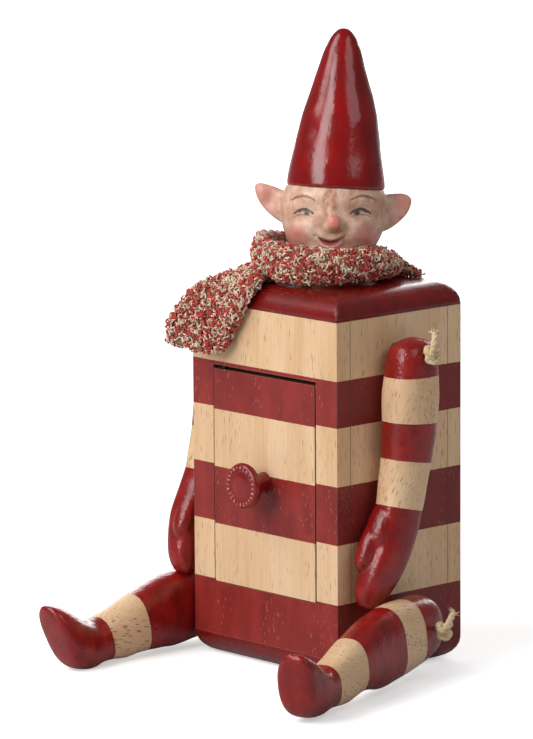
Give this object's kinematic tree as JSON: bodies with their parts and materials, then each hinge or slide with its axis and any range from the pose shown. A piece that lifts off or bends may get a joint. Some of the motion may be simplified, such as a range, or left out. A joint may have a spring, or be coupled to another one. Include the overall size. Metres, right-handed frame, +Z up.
{
  "type": "jack in the box",
  "caption": "Striped wooden box doll: sprung elf head with pointed hat on a neck post, hinged front door with knob, corded swinging arms and legs, knitted scarf",
  "frame": {"origin": "middle of the box's underside, on the plane it rests on", "axes": "+Z is up; -Y is the side with the door; +X is to the right when looking at the door"},
  "size_m": [0.1738, 0.151, 0.2785],
  "materials": {
    "back_board": "bare beech with matte painted red bands",
    "base_board": "satin red paint on beech",
    "catch_magnet": "plain steel",
    "catch_screw": "plain steel",
    "collar_pin": "plain steel",
    "door_knob": "satin red paint",
    "door_magnet": "plain steel",
    "door_panel": "bare beech with matte painted red bands",
    "door_stop": "bare turned or sawn beech",
    "frame_magnet": "plain steel",
    "front_board": "bare beech with matte painted red bands",
    "hat": "high-gloss red lacquer",
    "head": "carved and hand-painted, matte skin tone",
    "knob_screw": "plain steel",
    "left_arm": "carved beech with satin red painted bands",
    "left_hip_cord": "twisted undyed cord",
    "left_leg": "carved beech with satin red painted bands",
    "left_shoulder_cord": "twisted undyed cord",
    "left_side_board": "bare beech with matte painted red bands",
    "lid_board": "satin red paint on beech",
    "lid_bush": "plain brass",
    "lower_hinge_pin": "plain brass",
    "neck_post": "bare turned or sawn beech",
    "right_arm": "carved beech with satin red painted bands",
    "right_hip_cord": "twisted undyed cord",
    "right_leg": "carved beech with satin red painted bands",
    "right_shoulder_cord": "twisted undyed cord",
    "right_side_board": "bare beech with matte painted red bands",
    "scarf": "two-colour boucle knit",
    "spring": "plain steel",
    "spring_seat": "bare turned or sawn beech",
    "spring_washer": "plain brass",
    "stop_collar": "bare turned or sawn beech",
    "upper_hinge_pin": "plain brass"
  },
  "bodies": {
    "box": {"base_board": "base_board", "front_board": "front_board", "back_board": "back_board", "left_side_board": "left_side_board", "right_side_board": "right_side_board", "lid_board": "lid_board", "door_stop": "door_stop", "frame_magnet": "frame_magnet", "upper_hinge_pin": "upper_hinge_pin", "lower_hinge_pin": "lower_hinge_pin", "lid_bush": "lid_bush", "spring_seat": "spring_seat", "catch_magnet": "catch_magnet", "spring": "spring", "scarf": "scarf", "left_shoulder_cord": "left_shoulder_cord", "right_shoulder_cord": "right_shoulder_cord", "left_hip_cord": "left_hip_cord", "right_hip_cord": "right_hip_cord"},
    "door": {"door_panel": "door_panel", "door_magnet": "door_magnet", "door_knob": "door_knob", "knob_screw": "knob_screw"},
    "lift": {"spring_washer": "spring_washer"},
    "head": {"neck_post": "neck_post", "stop_collar": "stop_collar", "collar_pin": "collar_pin", "catch_screw": "catch_screw", "head": "head", "hat": "hat"},
    "left_arm": {"left_arm": "left_arm"},
    "right_arm": {"right_arm": "right_arm"},
    "left_leg": {"left_leg": "left_leg"},
    "right_leg": {"right_leg": "right_leg"}
  },
  "joints": [
    {"name": "head_pop", "type": "slide", "parent": "box", "child": "lift", "axis": [0, 0, 1], "range_m": [0, 0.0275], "deforming": ["spring"]},
    {"name": "head_turn", "type": "hinge", "parent": "lift", "child": "head", "pos_m": [0, 0, 0.176], "axis": [0, 0, 1], "continuous": true},
    {"name": "door_hinge", "type": "hinge", "parent": "box", "child": "door", "pos_m": [-0.0275, -0.0356, 0.0342], "axis": [0, 0, -1], "range_deg": [0, 100]},
    {"name": "left_shoulder", "type": "hinge", "parent": "box", "child": "left_arm", "pos_m": [-0.0569, -0.0088, 0.144], "axis": [-1, 0, 0], "range_deg": [0, 180]},
    {"name": "right_shoulder", "type": "hinge", "parent": "box", "child": "right_arm", "pos_m": [0.0569, -0.0035, 0.1445], "axis": [-1, 0, 0], "range_deg": [0, 180]},
    {"name": "left_hip", "type": "hinge", "parent": "box", "child": "left_leg", "pos_m": [-0.0585, 0, 0.0228], "axis": [1, 0, 0], "range_deg": [0, 90]},
    {"name": "right_hip", "type": "hinge", "parent": "box", "child": "right_leg", "pos_m": [0.0585, 0, 0.0228], "axis": [1, 0, 0], "range_deg": [0, 90]}
  ]
}
